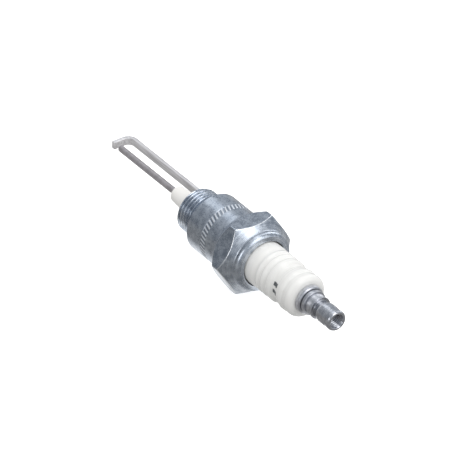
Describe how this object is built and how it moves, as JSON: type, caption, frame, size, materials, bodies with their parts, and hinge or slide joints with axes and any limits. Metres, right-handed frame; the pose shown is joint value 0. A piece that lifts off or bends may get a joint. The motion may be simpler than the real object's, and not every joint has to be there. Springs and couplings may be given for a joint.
{
  "type": "ignition electrode",
  "caption": "Screw-in burner ignition electrode: hexagon steel shell, ribbed ceramic insulator, long centre rod, bent ground bar and push-on cable terminal.",
  "frame": {"origin": "Centre of the flat seat face of the shell, on the axis of the mounting thread.", "axes": "+X runs along the axis to the cable terminal and -X to the spark end, +Y is the side the ground bar stands on, and +Z is square to a flat of the hexagon."},
  "size_m": [0.1088, 0.0254, 0.0222],
  "materials": {
    "zinc_steel": "satin",
    "nickel": "satin",
    "glazed_alumina": "gloss",
    "dark_nickel": "satin",
    "seal_glass": "gloss",
    "terminal_steel": "satin",
    "gasket_steel": "satin",
    "plain_steel": "satin",
    "talc": "matte"
  },
  "bodies": {
    "electrode": {"shell": "zinc_steel", "ground_electrode": "nickel", "insulator": "glazed_alumina", "centre_electrode": "dark_nickel", "glass_seal": "seal_glass", "terminal_stud": "terminal_steel", "seat_gasket": "gasket_steel", "packing_rings": "plain_steel", "talc_packing": "talc"},
    "nut": {"terminal_nut": "terminal_steel"}
  },
  "joints": [
    {"name": "terminal_nut_travel", "type": "slide", "parent": "electrode", "child": "nut", "axis": [1, 0, 0], "range_m": [0, 0.012]}
  ]
}
